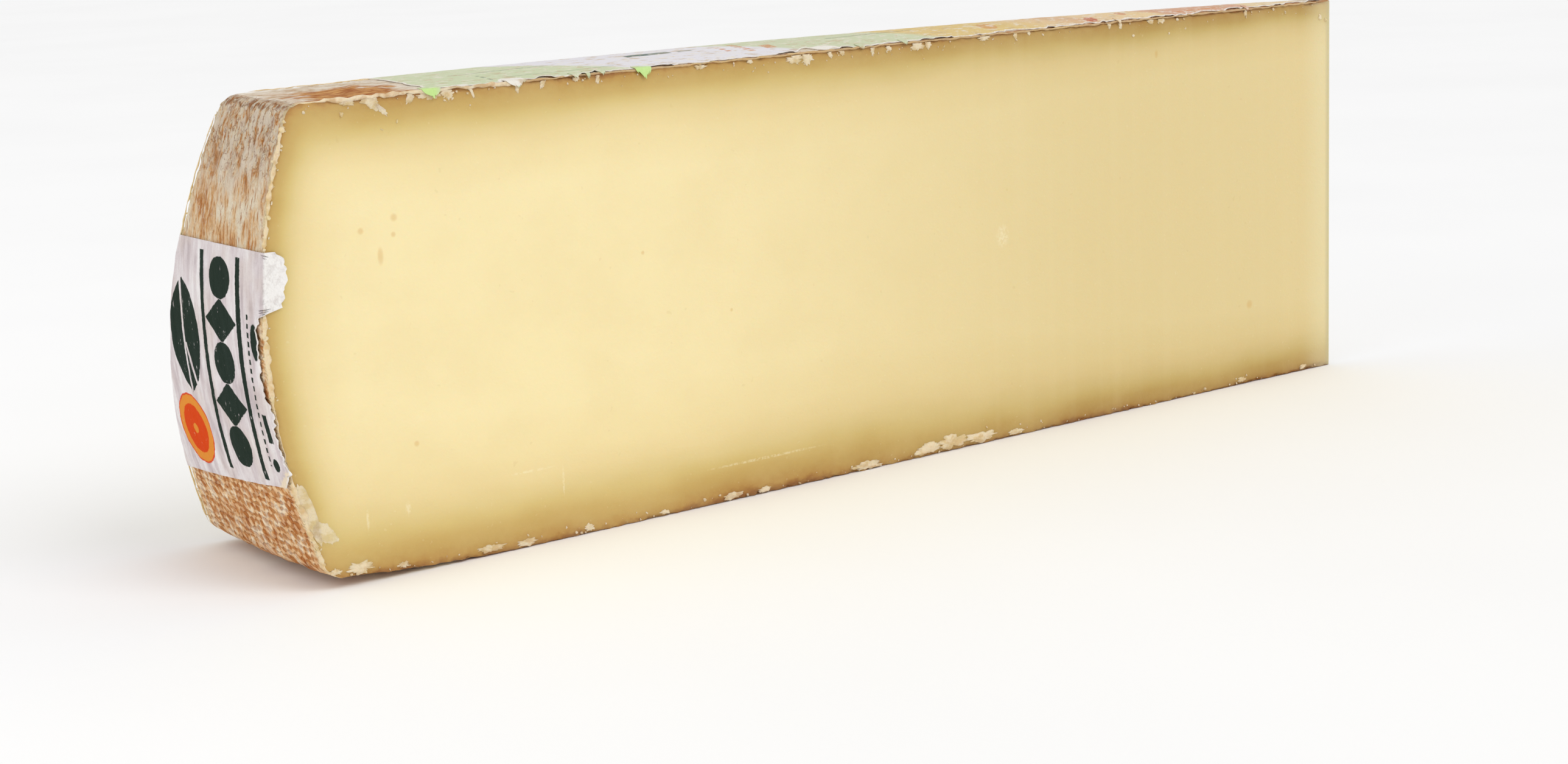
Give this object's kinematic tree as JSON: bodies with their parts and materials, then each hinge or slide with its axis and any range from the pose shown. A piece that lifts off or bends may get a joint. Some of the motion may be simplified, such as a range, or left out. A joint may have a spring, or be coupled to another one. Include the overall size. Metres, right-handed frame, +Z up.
{
  "type": "cheese wedge",
  "caption": "Long thin wedge of pressed mountain cheese lying on its flat rind, with a rounded rind heel, a paper band round the heel and a paper label along the top.",
  "frame": {"origin": "middle of the bounding box at its foot, on the surface that the flat underside rests on", "axes": "+X from the rind heel to the thin tip, +Y from the front cut to the back cut, +Z up"},
  "size_m": [0.3258, 0.0574, 0.1009],
  "materials": {
    "cheese": "soft, slightly waxy pale cream-yellow paste, darker ochre under a tan and cream rind",
    "band_paper": "thin greyish-white paper, creased, with plain dark green and orange shapes",
    "label_paper": "thin printed paper in fields of pale green, white, yellow-orange and peach"
  },
  "bodies": {
    "root": {"cheese": "cheese", "heel_band": "band_paper", "top_label": "label_paper"}
  },
  "joints": []
}
